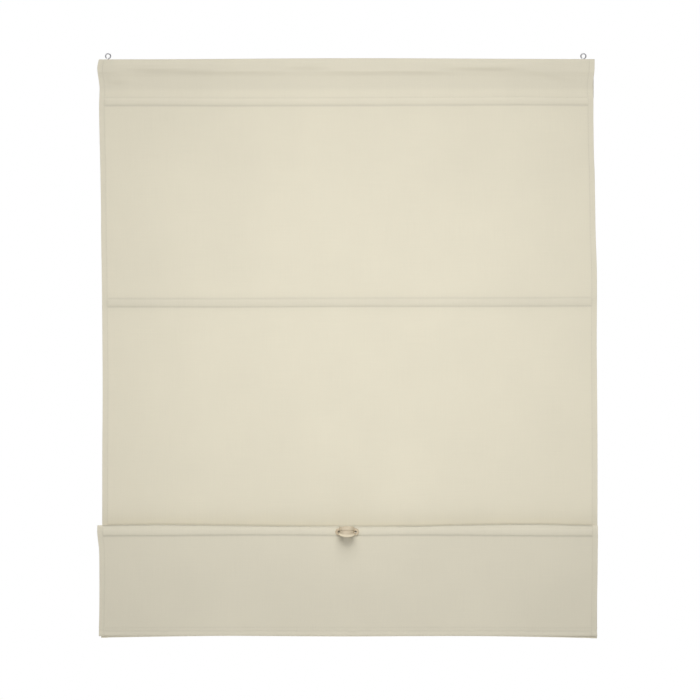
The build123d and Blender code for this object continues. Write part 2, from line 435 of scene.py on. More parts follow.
@dataclass(frozen=True)
class CottonFinish(Finish):
    """Plain-weave cotton: yarns both ways, slubs, soft mottling, and light through the cloth, with
    painted shade and painted light laid on from two attributes.
    """

    name: str = "natural_cotton"
    body: Colour = (0.842, 0.792, 0.648, 1.0)
    glow: Colour = (0.860, 0.830, 0.690, 1.0)
    through: float = 0.20
    yarn_pitch: float = 0.00062
    yarn_relief: float = 0.00008
    slub_depth: float = 0.015
    mottle_depth: float = 0.030
    # how much darker the stitch attribute paints the cloth: painted shade along seams and over the
    # crest
    seam_painted_shade: float = 0.09
    # how much darker the place attribute paints the cloth: painted shade, and painted light where
    # it is below 0
    painted_shading_depth: float = 0.075
    pucker_relief: float = 0.0007

    def shade(self, g: Graph) -> bpy.types.Node:
        """Lay the nodes in a graph and give the shader they end in."""
        flat = g.cut_space((1, 1, 1))
        warp = g.wave(flat, "X", self.yarn_pitch)
        weft = g.wave(flat, "Y", self.yarn_pitch)
        over = g.math(
            "MULTIPLY",
            g.span(g.wave(flat, "X", 2 * self.yarn_pitch), 0, 1, -1, 1),
            g.span(g.wave(flat, "Y", 2 * self.yarn_pitch), 0, 1, -1, 1),
        )
        top = g.add("ShaderNodeMix", {0: g.span(over, -0.4, 0.4, 0, 1), 2: warp, 3: weft})
        yarns = top.outputs[0]
        warp_slub = g.noise(g.cut_space((1500, 14, 1)), 1.0, 2.0)
        weft_slub = g.noise(g.cut_space((11, 1500, 1)), 1.0, 2.0)
        slub = g.math("ADD", warp_slub, weft_slub)
        mottle = g.noise(g.object_space((1, 1, 1)), 5.5, 3.0, 0.55)
        stitch_draw_and_painted_shade = g.add("ShaderNodeAttribute", attribute_name=STITCH_DRAW_AND_PAINTED_SHADE).outputs["Fac"]

        tone = g.math(
            "ADD",
            g.span(slub, 0.7, 1.3, 1 - self.slub_depth, 1 + self.slub_depth),
            g.span(mottle, 0.3, 0.7, -self.mottle_depth / 2, self.mottle_depth / 2),
        )
        toned = g.add("ShaderNodeAttribute", attribute_name=PAINTED_SHADING).outputs["Fac"]
        # painted shade along the stitch lines, on the line pressed above the raised fold's crest
        # and over the crest's top
        tone = g.math("SUBTRACT", tone, g.math("MULTIPLY", stitch_draw_and_painted_shade, self.seam_painted_shade))
        # painted shade and painted light, set by place
        tone = g.math("SUBTRACT", tone, g.math("MULTIPLY", toned, self.painted_shading_depth))
        tone = g.math("MULTIPLY", tone, g.span(yarns, 0, 1, 0.965, 1.02))
        grey = g.add("ShaderNodeCombineColor", {0: tone, 1: tone, 2: tone}).outputs[0]
        body = g.blend(1.0, self.body, grey, "MULTIPLY")
        glow = g.blend(1.0, self.glow, grey, "MULTIPLY")

        pucker = g.math("MULTIPLY", stitch_draw_and_painted_shade, g.noise(g.cut_space((110, 60, 1)), 1.0, 2.0))
        relief = g.bump(pucker, self.pucker_relief)
        relief = g.bump(slub, 0.00006, under=relief)
        relief = g.bump(yarns, self.yarn_relief, 0.8, under=relief)
        face = g.add(
            "ShaderNodeBsdfPrincipled",
            {
                "Base Color": body,
                "Roughness": g.span(slub, 0.7, 1.3, 0.86, 0.96),
                "Specular IOR Level": 0.22,
                "Sheen Weight": 0.12,
                "Sheen Roughness": 0.5,
                "Normal": relief,
            },
        )
        back = g.add("ShaderNodeBsdfTranslucent", {"Color": glow, "Normal": relief})
        links = {0: self.through, 1: face.outputs[0], 2: back.outputs[0]}
        return g.add("ShaderNodeMixShader", links)


@dataclass(frozen=True)
class ThreadFinish(Finish):
    """Twisted cotton sewing thread."""

    name: str = "sewing_thread"
    light: Colour = linear(226, 219, 199)
    dark: Colour = linear(196, 187, 163)

    def shade(self, g: Graph) -> bpy.types.Node:
        """Lay the nodes in a graph and give the shader they end in."""
        place = g.object_space((1, 1, 1))
        twist = g.noise(place, 2600, 2.0)
        tone = g.noise(place, 90, 2.0)
        colour = g.blend(g.span(tone, 0.3, 0.7, 0, 1), self.dark, self.light)
        return g.add(
            "ShaderNodeBsdfPrincipled",
            {
                "Base Color": colour,
                "Roughness": g.span(twist, 0, 1, 0.6, 0.8),
                "Specular IOR Level": 0.3,
                "Normal": g.bump(twist, 0.00008, 0.6),
            },
        )


@dataclass(frozen=True)
class LeatherFinish(Finish):
    """Vegetable-tanned leather with a fine pebbled grain."""

    name: str = "tan_leather"
    light: Colour = linear(216, 203, 178)
    dark: Colour = linear(199, 183, 157)
    grain: float = 1500.0
    grain_relief: float = 0.00012
    roughness: tuple[float, float] = (0.48, 0.66)

    def shade(self, g: Graph) -> bpy.types.Node:
        """Lay the nodes in a graph and give the shader they end in."""
        place = g.object_space((1, 1, 1))
        pebble = g.add(
            "ShaderNodeTexVoronoi", {"Vector": place, "Scale": self.grain}, feature="SMOOTH_F1"
        ).outputs["Distance"]
        cloud = g.noise(place, 70, 4.0, 0.6)
        fleck = g.noise(place, 900, 2.0)
        share = g.math("ADD", g.span(cloud, 0.32, 0.68, 0, 0.8), g.span(fleck, 0.3, 0.7, 0, 0.2))
        colour = g.blend(share, self.dark, self.light)
        colour = g.blend(0.35, colour, g.span(pebble, 0, 0.9, 1.0, 0.55), "MULTIPLY")
        return g.add(
            "ShaderNodeBsdfPrincipled",
            {
                "Base Color": colour,
                "Roughness": g.span(fleck, 0, 1, *self.roughness),
                "Specular IOR Level": 0.4,
                "Normal": g.bump(pebble, self.grain_relief, 0.7, g.bump(cloud, 0.0004, 0.5)),
            },
        )


@dataclass(frozen=True)
class MetalFinish(Finish):
    """Bare metal with drawn or brushed lines and a little tarnish."""

    name: str
    light: Colour
    dark: Colour
    lines: tuple[float, float, float] = (40.0, 1600.0, 1600.0)
    roughness: tuple[float, float] = (0.28, 0.5)
    relief: float = 0.00003

    def shade(self, g: Graph) -> bpy.types.Node:
        """Lay the nodes in a graph and give the shader they end in."""
        drawn = g.noise(g.object_space(self.lines), 1.0, 3.0)
        patch = g.noise(g.object_space((1, 1, 1)), 160, 4.0, 0.6)
        share = g.math("ADD", g.span(drawn, 0.3, 0.7, 0, 0.5), g.span(patch, 0.35, 0.65, 0, 0.5))
        return g.add(
            "ShaderNodeBsdfPrincipled",
            {
                "Base Color": g.blend(share, self.dark, self.light),
                "Metallic": 1.0,
                "Roughness": g.span(patch, 0.3, 0.7, *self.roughness),
                "Normal": g.bump(drawn, self.relief, 0.6),
            },
        )


@dataclass(frozen=True)
class WoodFinish(Finish):
    """Planed softwood, with its grain along the lath."""

    name: str = "planed_pine"
    light: Colour = linear(222, 190, 142)
    dark: Colour = linear(186, 142, 92)

    def shade(self, g: Graph) -> bpy.types.Node:
        """Lay the nodes in a graph and give the shader they end in."""
        rings = g.noise(g.object_space((1.6, 190, 90)), 1.0, 3.0, 0.55)
        pores = g.noise(g.object_space((30, 2400, 2400)), 1.0, 2.0)
        colour = g.blend(g.span(rings, 0.35, 0.65, 0, 1), self.light, self.dark)
        colour = g.blend(0.25, colour, g.span(pores, 0.3, 0.7, 0.6, 1.0), "MULTIPLY")
        return g.add(
            "ShaderNodeBsdfPrincipled",
            {
                "Base Color": colour,
                "Roughness": g.span(pores, 0, 1, 0.5, 0.72),
                "Normal": g.bump(pores, 0.00008, 0.6, g.bump(rings, 0.0002, 0.4)),
            },
        )


@dataclass(frozen=True)
class PlasticFinish(Finish):
    """Moulded plastic with a faint spark-eroded texture."""

    name: str = "moulded_plastic"
    light: Colour = linear(232, 230, 224)
    dark: Colour = linear(214, 211, 203)

    def shade(self, g: Graph) -> bpy.types.Node:
        """Lay the nodes in a graph and give the shader they end in."""
        place = g.object_space((1, 1, 1))
        grain = g.noise(place, 3200, 2.0)
        cloud = g.noise(place, 220, 2.0)
        return g.add(
            "ShaderNodeBsdfPrincipled",
            {
                "Base Color": g.blend(g.span(cloud, 0.3, 0.7, 0, 1), self.dark, self.light),
                "Roughness": g.span(grain, 0.2, 0.8, 0.42, 0.58),
                "Normal": g.bump(grain, 0.00003, 0.5),
            },
        )


class Finishes:
    """Every material of the blind, built once."""

    def __init__(self) -> None:
        """Build the materials."""
        self.thread = ThreadFinish().build()
        self.cut_edge = LeatherFinish(
            name="leather_cut_edge",
            light=linear(226, 216, 192),
            dark=linear(210, 198, 172),
            grain=2600.0,
            roughness=(0.7, 0.85),
        ).build()
        self.by_slot: dict[Slot, bpy.types.Material] = {
            Slot.COTTON: CottonFinish().build(),
            Slot.LEATHER: LeatherFinish().build(),
            Slot.WOOD: WoodFinish().build(),
            Slot.PLUG: PlasticFinish().build(),
            Slot.ZINC: MetalFinish(
                "zinc_plated_wire",
                linear(206, 204, 208),
                linear(150, 150, 156),
                lines=(700.0, 700.0, 700.0),
                roughness=(0.3, 0.5),
            ).build(),
            Slot.ROD: MetalFinish(
                "drawn_aluminium", linear(214, 208, 194), linear(186, 180, 166)
            ).build(),
            Slot.BAR: MetalFinish(
                "rolled_steel", linear(158, 160, 163), linear(112, 113, 116), roughness=(0.35, 0.55)
            ).build(),
            Slot.BRASS: MetalFinish(
                "dark_brass",
                linear(228, 214, 190),
                linear(200, 184, 158),
                lines=(900.0, 900.0, 900.0),
                roughness=(0.45, 0.6),
            ).build(),
        }


# --- pieces -----------------------------------------------------------------------------------


def placed(name: str, data: bpy.types.ID) -> bpy.types.Object:
    """Add an object to the scene."""
    thing = bpy.data.objects.new(name, data)
    bpy.context.scene.collection.objects.link(thing)
    return thing


def solid(piece: bpy.types.Object, thickness: float, rim: int = 0) -> None:
    """Give a sheet its thickness, half to each side.

    Args:
        piece: The object of the sheet.
        thickness: In millimetres.
        rim: How many material slots further on the cut edge takes its finish.
    """
    wall = piece.modifiers.new("thickness", "SOLIDIFY")
    wall.thickness = thickness * MM
    wall.offset = 0.0
    wall.use_even_offset = True
    wall.material_offset_rim = rim


def hang(
    mesh: bmesh.types.BMesh, name: str, slot: Slot, materials: Sequence[bpy.types.Material]
) -> bpy.types.Object:
    """Turn a finished bmesh into a piece that rides on the blind.

    Args:
        mesh: The shape, in metres; it is freed.
        name: The piece's name.
        slot: Not used.
        materials: The piece's materials, in slot order.

    Returns:
        The new object.
    """
    data = bpy.data.meshes.new(name)
    mesh.to_mesh(data)
    mesh.free()
    data.shade_smooth()
    for material in materials:
        data.materials.append(material)
    piece = placed(name, data)
    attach(piece, BODY)
    log.info("%s: %d faces", name, len(data.polygons))
    return piece


Layer = Callable[[float, float], Vector]


def laid(
    across: Sequence[float],
    along: Sequence[float],
    place: Layer,
    paint: dict[str, Callable[[float, float], float]] | None = None,
) -> bmesh.types.BMesh:
    """Lay a flat grid of cloth onto its hung shape.

    Args:
        across: The stops across the flat cut, in millimetres.
        along: The stops along it.
        place: Gives a flat place's hung position in metres.
        paint: For each attribute, what gives its value at a flat place.

    Returns:
        The bmesh, with its flat coordinates kept as a UV map in metres.
    """
    bm = bmesh.new()
    bmesh.ops.create_grid(
        bm, x_segments=len(across) - 1, y_segments=len(along) - 1, size=0.5
    )
    cut = bm.loops.layers.uv.new(CUT_MAP)
    layers = {name: bm.verts.layers.float.new(name) for name in paint or {}}
    for vert in bm.verts:
        i = round((vert.co.x + 0.5) * (len(across) - 1))
        j = round((vert.co.y + 0.5) * (len(along) - 1))
        vert.co = (across[i], along[j], 0.0)
        for name, layer in layers.items():
            vert[layer] = paint[name](across[i], along[j])
    for face in bm.faces:
        for loop in face.loops:
            loop[cut].uv = (loop.vert.co.x * MM, loop.vert.co.y * MM)
    for vert in bm.verts:
        vert.co = place(vert.co.x, vert.co.y)
    return bm


def cut_out(bm: bmesh.types.BMesh, doomed: Callable[[Vector], bool]) -> None:
    """Delete the faces whose middle passes a test, and turn the rest to face the same way."""
    faces = [face for face in bm.faces if doomed(face.calc_center_median())]
    bmesh.ops.delete(bm, geom=faces, context="FACES")
    bmesh.ops.recalc_face_normals(bm, faces=bm.faces)


@dataclass(frozen=True)
class Ripple:
    """A soft roll of the header cloth over the lath's foot."""

    x: float
    half: float
    z: float
    depth: float
    fall: float = 3.4
    tilt: float = 0.0

    def stand(self, x: float, z: float) -> float:
        """How far the cloth stands out at a place, in millimetres."""
        edge = self.z + self.tilt * (x - self.x)
        return self.depth * bell(x, self.x, self.half, 3) * (
            0.5 + 0.5 * math.tanh((z - edge) / self.fall)
        )


@dataclass
class Cloth:
    """The blind's one length of cotton, from behind the first rod, over the lath, to the hem."""

    width: float = 1000.0
    thickness: float = 0.44
    hem_width: float = 12.0
    hem_stitch: float = 10.4
    hem_turn: float = 0.25
    step: float = 14.0
    back_gap: float = 1.3  # between the layers that meet at the first rod
    lath_gap: float = 0.75
    foot_depth: float = 5.0  # what is left of the lath's depth just below its foot
    foot_drop: float = 10.5
    pocket_half: float = 8.25
    pocket_margin: float = 2.0
    pocket_puff: float = 1.1
    seam_rise: float = 2.4  # of the raised pocket's stitches above the rod's own line
    hem_rise: float = 0.0
    hem_pocket: float = 17.0
    crest_rise: float = 14.9  # of the raised fold's crest above its rod's axis
    riser_rise: float = 8.0  # of the bend where the fold's back layer turns to the crest
    seam_draw: float = 0.45  # how deep a seam of weight 1 draws the cloth in
    seam_half: float = 1.5
    hook_slot: tuple[float, float] = (2.3, 3.3)  # its half width and half height
    eyelet_hole: float = 3.1  # its radius
    hole_depth: float = 2.4  # how far off its layer a hole still cuts

    ripples: tuple[Ripple, ...] = (
        Ripple(-372, 80, -31.6, 3.0, tilt=-0.018),
        Ripple(-225, 96, -35.4, 2.1, tilt=-0.012),
        Ripple(-80, 36, -28.4, 2.8, fall=3.0),
        Ripple(25, 80, -37.4, 2.2),
        Ripple(150, 58, -36.6, 2.2),
        Ripple(277, 74, -29.6, 4.6, fall=3.4),
        Ripple(404, 56, -42.0, 1.7, fall=4.5, tilt=-0.2),
        Ripple(-463, 20, -54.0, 1.8),
    )
    lift_x: tuple[float, ...] = (-500, -375, -250, -125, 0, 125, 250, 375, 500)

    def __post_init__(self) -> None:
        """Take the lath's, rods' and bar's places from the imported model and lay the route."""
        lath_low, lath_high = in_mm("head_lath")
        low, high = in_mm("cloth")
        rod_low, rod_high = in_mm("rod_1")
        raised_high = in_mm("rod_4")[1]
        bar_low, bar_high = in_mm("hem_bar")
        half = 0.5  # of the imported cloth's thickness
        lath_side = lath_high.y + self.lath_gap
        crown = high.z - half
        first = middle("rod_1").z
        self.second_z = middle("rod_2").z
        self.raised_z = middle("rod_4").z
        self.riser_y = raised_high.y + 2.1
        self.panel_y = low.y + half if low.y > -30 else bar_low.y - 0.8
        crest = self.raised_z + self.crest_rise
        loop = low.z + half
        hem = low.z + 6.0 + self.hem_rise
        bulge = rod_high.y + 1.1
        reach = self.pocket_half + self.pocket_margin
        hem_back = bar_high.y + 0.75
        hem_seam = hem + self.hem_pocket
        corners = [
            (self.back_gap, first - reach),
            (self.back_gap, first - self.pocket_half),
            (bulge, rod_low.z - 0.9),
            (bulge, rod_high.z),
            (self.back_gap, first + self.pocket_half),
            (lath_side, lath_low.z),
            (lath_side, crown),
            (-lath_side, crown),
            (-lath_side, lath_low.z - 1.5),
            (-self.foot_depth, lath_low.z - self.foot_drop),
            (0.0, first + self.pocket_half),
            (0.0, loop),
            (self.riser_y, loop),
            (self.riser_y, self.raised_z + self.riser_rise),
            (self.panel_y + 4.3, crest),
            (self.panel_y + 1.5, crest),
            (self.panel_y, self.raised_z - 2.0),
            (self.panel_y, hem),
            (hem_back, hem),
            (hem_back, hem_seam - 4.0),
            (self.panel_y + 0.55, hem_seam),
            (self.panel_y + 0.55, hem_seam + self.pocket_margin),
        ]
        bends = [
            1.5, 3.5, 3.5, 1.5, 8.0, 3.3, 3.3, 6.0, 9.0, 25.0,
            -self.riser_y / 2 - 0.01, -self.riser_y / 2 - 0.01, 5.0, 1.5, 1.3, 30.0,
            1.5, 1.5, 1.5, 1.5,
        ]  # fmt: skip
        self.route = Route(corners, bends)
        r = self.route
        self.crown_at = (r.corner_marks[5] + r.corner_marks[6]) / 2
        self.crest_at = (r.corner_marks[13] + r.corner_marks[14]) / 2
        self.loop_at = (r.corner_marks[10] + r.corner_marks[11]) / 2
        self.hem_at = r.corner_marks[16]
        self.sheet_leg, self.pocket_leg, self.panel_leg = 10, 15, 16
        second, third = self.second_z, middle("rod_3").z
        up = self.raised_z + self.seam_rise
        p = self.pocket_half
        at = r.at_height
        self.pockets = [
            (at(self.sheet_leg, first + p - 0.05), at(self.sheet_leg, first - p + 0.8)),
            (at(self.sheet_leg, second + p + 0.3), at(self.sheet_leg, second - p)),
            (at(self.sheet_leg, third + p), at(self.sheet_leg, third - p)),
            (at(self.pocket_leg, up + p - 1.4), at(self.panel_leg, up - p + 0.2)),
        ]
        self.hem_seam_at = at(self.panel_leg, hem_seam)
        # each seam's weight sets how far it draws the cloth in and how much painted shade lies
        # along it
        weights = [(0.45, 1.0), (0.8, 1.0), (0.6, 0.6), (0.1, 1.5)]
        self.seams = [
            seam
            for pocket, weight in zip(self.pockets, weights)
            for seam in zip(pocket, weight)
        ]
        self.seams += [(self.hem_seam_at, 0.35), (self.hem_at - 9.5, 0.5)]
        # the pressed line and the crest's top draw the cloth in a little and carry painted shade: a
        # dark line on the layer behind just above the crest, and a darker crest top
        pressed = at(self.sheet_leg, crest - 1.2)  # where the crest bears on the layer behind
        self.seams += [(pressed, 1.8), (self.crest_at + 0.9, 2.8)]
        self._set_wander(at)

    def _set_wander(self, at: Callable[[int, float], float]) -> None:
        """Set down how the hung cloth strays from true: its two edges and its height.

        Args:
            at: Gives the distance along the route of a height on a leg.
        """
        sheet, panel = self.sheet_leg, self.panel_leg
        down = 7  # the leg down the lath's front
        rows = [
            (0.0, 0.4, -0.8),
            (self.crown_at - 20, 1.4, 0.6),
            (self.crown_at, 1.4, 0.65),
            (at(down, -24.0), -2.3, 0.5),
            (self.route.corner_marks[7] + 4, -1.3, -0.35),
            (self.route.corner_marks[8] + 13, 1.0, -2.4),
            (self.route.corner_marks[8] + 30, 1.8, -2.0),
            (at(sheet, -89.0), 0.5, -0.8),
            (at(sheet, -121.0), 0.4, -0.8),
            (at(sheet, -202.0), 2.2, 0.3),
            (at(sheet, -234.0), 2.9, 1.7),
            (at(sheet, -299.0), 4.0, 2.8),
            (at(sheet, -363.0), 4.4, 3.9),
            (at(sheet, -428.0), 5.4, 6.1),
            (at(sheet, -493.0), 6.2, 6.4),
            (at(sheet, -573.0), 6.9, 5.9),
            (at(sheet, -654.0), 7.4, 6.6),
            (at(sheet, -719.0), 7.3, 7.1),
            (at(sheet, -796.0), 6.7, 7.5),
            (at(sheet, -929.0), 6.5, 7.4),
            (self.loop_at, 5.6, 5.4),
            (self.crest_at - 25, 1.0, 6.0),
            (self.crest_at, -0.2, 5.3),
            (at(self.pocket_leg, -958.0), -0.4, 5.1),
            (at(panel, -977.0), 1.4, 5.1),
            (at(panel, -994.0), 3.4, 4.8),
            (at(panel, -1058.0), 4.0, 4.1),
            (at(panel, -1120.0), 3.8, 3.0),
            (at(panel, -1150.0), 3.2, 3.0),
            (self.hem_at, 3.0, 3.8),
            (self.route.length, 3.0, 3.8),
        ]
        self.edge_along = [row[0] for row in rows]
        self.edge_left = [row[1] + 1.7 for row in rows]
        self.edge_right = [row[2] + 0.9 for row in rows]
        first = (0.2, 0.6, -0.2, 0.2, 0.6, 1.2, 1.6, 2.0, 1.0)
        second = (-0.5, -0.6, -0.7, -0.1, 0.5, 0.7, 0.7, 1.0, 1.8)
        raised = (0.2, 1.6, 0.2, -1.4, -2.2, -1.4, 1.2, 2.4, -0.4)
        hem = (-0.5, -0.1, 0.2, 0.1, -0.3, 0.0, 0.0, -0.5, -1.0)
        self.lifts = [
            (0.0, first),
            (self.crown_at, (0.1, 0.3, 1.0, 1.9, 2.4, 2.2, 1.6, 1.0, 0.6)),
            (at(sheet, -85.0), first),
            (at(sheet, -112.0), first),
            (at(sheet, -480.0), second),
            (at(sheet, -515.0), second),
            (at(sheet, -932.0), raised),
            (at(sheet, -950.0), raised),
            (at(sheet, -1010.0), (0.0, 0.0, 0.0, 0.0, 0.0, 0.0, 0.0, 0.0, 0.0)),
            (self.loop_at, (-0.6, 1.4, 2.8, 2.2, 1.6, 2.2, 2.4, 0.8, -1.8)),
            (self.crest_at - 40, (0.1, 0.8, 0.2, -0.6, -1.0, -0.6, 0.6, 1.0, -0.2)),
            (self.crest_at - 9, raised),
            (self.crest_at + 2, raised),
            (self.pockets[3][0], (0.0, 0.9, 0.8, 0.2, -0.6, 0.1, 1.0, 0.8, -0.6)),
            (self.pockets[3][1], (-0.4, 0.0, 1.2, 1.5, 0.4, 1.4, 0.8, -0.4, -1.0)),
            (at(panel, -1000.0), (-0.4, 0.0, 0.8, 1.0, 0.3, 0.9, 0.5, -0.2, -0.8)),
            (self.hem_at, hem),
            (self.route.length, hem),
        ]
        self.lift_along = [row[0] for row in self.lifts]

    @property
    def half_cut(self) -> float:
        """Half the flat width of the cut, side hems and all."""
        return self.width / 2 - self.hem_turn + math.pi * self.hem_turn + self.hem_width

    def folded(self, across: float) -> tuple[float, float]:
        """Fold a flat place across the cut round its side hem.

        Args:
            across: The flat distance from the middle.

        Returns:
            The place across the hung cloth, and how far behind its face it lies.
        """
        flat, edge = abs(across), self.width / 2 - self.hem_turn
        way = math.copysign(1.0, across)
        if flat <= edge:
            return across, 0.0
        if flat <= edge + math.pi * self.hem_turn:
            angle = (flat - edge) / self.hem_turn
            return (
                way * (edge + self.hem_turn * math.sin(angle)),
                self.hem_turn * (1 - math.cos(angle)),
            )
        return way * (edge - (flat - edge - math.pi * self.hem_turn)), 2 * self.hem_turn

    def lift(self, x: float, along: float) -> float:
        """How far the cloth hangs above its true height, in millimetres."""
        i = min(len(self.lifts) - 2, max(0, bisect_right(self.lift_along, along) - 1))
        (start, here), (end, there) = self.lifts[i], self.lifts[i + 1]
        share = smooth_step(start, end, along)
        return (1 - share) * read_off(self.lift_x, here, x) + share * read_off(
            self.lift_x, there, x
        )

    def stand(self, x: float, along: float, z: float) -> float:
        """How far the cloth's face stands out from its route, in millimetres.

        Args:
            x: The place across.
            along: The distance along the route.
            z: The route's height there.

        Returns:
            The distance out of the right side; less than 0 is inwards.
        """
        out = 0.0
        stitch = self.width / 2 - self.hem_stitch
        inside = smooth_step(stitch + 3.0, stitch - 4.0, abs(x))
        for i, (upper, lower) in enumerate(self.pockets):
            if upper < along < lower and i != 2:
                share = (along - upper) / (lower - upper)
                out += inside * self.pocket_puff * math.sin(math.pi * share) ** 0.7
        for seam, weight in self.seams:
            if abs(along - seam) < 8:
                out -= self.seam_draw * weight * inside * bell(along, seam, self.seam_half)
        front = self.route.corner_marks[6]
        if front < along < self.pockets[0][0]:
            fade = smooth_step(-10.0, -20.0, z) * smooth_step(-84.0, -66.0, z)
            out += fade * sum(r.stand(x, z) for r in self.ripples)
        end = self.hem_at
        if self.hem_seam_at < along < end:
            out -= 0.10 * bell(along, end - 10.5, 2.0) - 0.5 * bell(along, end - 4.0, 3.0)
        for start, stop, shift in (
            (self.pockets[0][1], self.pockets[1][0], 0.0),
            (self.pockets[1][1], self.pockets[2][0], 1.3),
            (self.pockets[3][1], self.hem_seam_at, 2.1),
        ):
            if start < along < stop:
                rise = math.sin(math.pi * (along - start) / (stop - start))
                out += rise * (
                    0.9 * math.sin(x / 131 + shift) + 0.5 * math.sin(x / 57 + 2.3 * shift + 1)
                )
        return out

    def place(self, across: float, along: float, out: float = 0.0) -> Vector:
        """Hung position of a flat place.

        Args:
            across: The flat distance from the middle, in millimetres.
            along: The distance along the cloth.
            out: How far off the face to go.

        Returns:
            The position in metres.
        """
        here = self.route.at(along)
        (y, z), (side_y, side_z) = here.point, here.right_side
        x, behind = self.folded(across)
        off = self.stand(x, along, z) - behind + out
        share = x / self.width + 0.5
        left = read_off(self.edge_along, self.edge_left, along)
        right = read_off(self.edge_along, self.edge_right, along)
        return MM * Vector(
            (
                x + (1 - share) * left + share * right,
                y + side_y * off,
                z + side_z * off + self.lift(x, along),
            )
        )

    def stitch_draw_and_painted_shade(self, across: float, along: float) -> float:
        """How hard the stitches draw in a flat place, which also sets the painted shade there: 1 at
        a plain seam, 2.8 at the crest, where it is painted shade over the crest's top.
        """
        stitch = self.width / 2 - self.hem_stitch
        inside = smooth_step(stitch + 1.5, stitch - 1.0, abs(across))
        marks = [weight * bell(along, seam, 1.9) for seam, weight in self.seams]
        # painted shade along the seams, the pressed line and the crest, and down both side hem
        # stitch lines
        return max(inside * max(marks), 0.35 * bell(abs(across), stitch, 1.7))

    def toned(self, across: float, along: float) -> float:
        """Painted shade and painted light on the cloth: how much darker a flat place is made; below
        0 it is lighter.

        The tone is set by place and isn't a model of wear. Painted shade darkens the front panel
        from the crest down, more towards the bottom, the header's back layer round the lath, and a
        band round the second rod's pocket. Painted light lightens the cloth below the lath's foot
        and round the bottom loop.
        """
        height = self.route.at(along).point[1]
        down = smooth_step(self.crest_at - 2, self.crest_at + 14, along)
        behind = 0.65 * smooth_step(-38.0, -22.0, height) * smooth_step(90.0, 60.0, along)
        low = 0.86 + 0.50 * smooth_step(self.raised_z, self.raised_z - 190, height)
        past_crown = smooth_step(self.crown_at + 60, self.crown_at + 70, along)
        foot = bell(height, -76.0, 13.0) * past_crown
        pocket = 0.5 * bell(height, self.second_z, 14.0) * (1 - down)
        loop = bell(along, self.loop_at, 18.0)
        # painted shade where the result is above 0, painted light where the foot and loop take it
        # below 0
        return max(down * low, behind, pocket) - 0.6 * foot - 1.8 * loop

    def stops_across(self) -> list[float]:
        """The grid's stops across the flat cut."""
        edge = self.width / 2 - self.hem_turn
        turned = edge + math.pi * self.hem_turn
        half = spread(edge, turned, math.pi * self.hem_turn / 4)
        half += [turned + d for d in (3.0, 7.0, self.hem_width - 0.6, self.hem_width)]
        stitch = self.width / 2 - self.hem_stitch
        half += [stitch + d for d in (-7, -4, -2.4, -1.2, 0, 1.2, 2.4, 4.5, 6.5, 8.4, 9.6)]
        inner = spread(0.0, stitch - 14.0, self.step)
        every = [way * x for x in half + inner for way in (-1, 1)]
        for hook, eyelet in zip(pair("rod_hook"), pair("handle_eyelet")):
            every += [hook.x + d for d in (-2.2, 0.0, 2.2)]
            every += [eyelet.x + d for d in (-4.8, -3.2, -1.6, 0.0, 1.6, 3.2, 4.8)]
        return merged(every, 0.15)

    def stops_along(self) -> list[float]:
        """The grid's stops along the cloth."""
        stops = self.route.stops(self.step)
        for seam, _ in self.seams:
            stops += [seam + d for d in (-6, -3.8, -2.2, -1.1, 0.0, 1.1, 2.2, 3.8, 6)]
        start, end = self.route.corner_marks[6] + 3, self.pockets[0][0] - 6
        stops += spread(start, end, 2.6)
        stops += spread(self.hem_seam_at + 6, self.hem_at - 1.5, 1.6)
        for upper, lower in self.pockets:
            stops += spread(upper + 4, lower - 4, 1.6)
        stops += [0.6, self.route.length - 0.6]
        return merged(stops, 0.5)

    def build(self, finishes: Finishes) -> bpy.types.Object:
        """Build the cloth.

        Args:
            finishes: The blind's materials.

        Returns:
            The cloth's object.
        """
        across, along = self.stops_across(), self.stops_along()
        # the stitch attribute also carries painted shade, and the place attribute carries painted
        # shade and painted light
        bm = laid(across, along, self.place, {STITCH_DRAW_AND_PAINTED_SHADE: self.stitch_draw_and_painted_shade, PAINTED_SHADING: self.toned})
        holes = []
        for hook, eyelet in zip(pair("rod_hook"), pair("handle_eyelet")):
            holes += [(hook.x, y, hook.z, *self.hook_slot) for y in (0, self.riser_y)]
            holes.append((eyelet.x, self.panel_y, eyelet.z, self.eyelet_hole, self.eyelet_hole))

        def in_hole(c: Vector) -> bool:
            """Whether a place in metres falls in a hole."""
            return any(
                abs(c.y - y * MM) < self.hole_depth * MM
                and ((c.x - x * MM) / (wide * MM)) ** 2 + ((c.z - z * MM) / (tall * MM)) ** 2 < 1
                for x, y, z, wide, tall in holes
            )

        cut_out(bm, in_hole)
        piece = hang(bm, "blind_cloth", Slot.COTTON, [finishes.by_slot[Slot.COTTON]])
        solid(piece, self.thickness)
        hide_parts("cloth")
        return piece


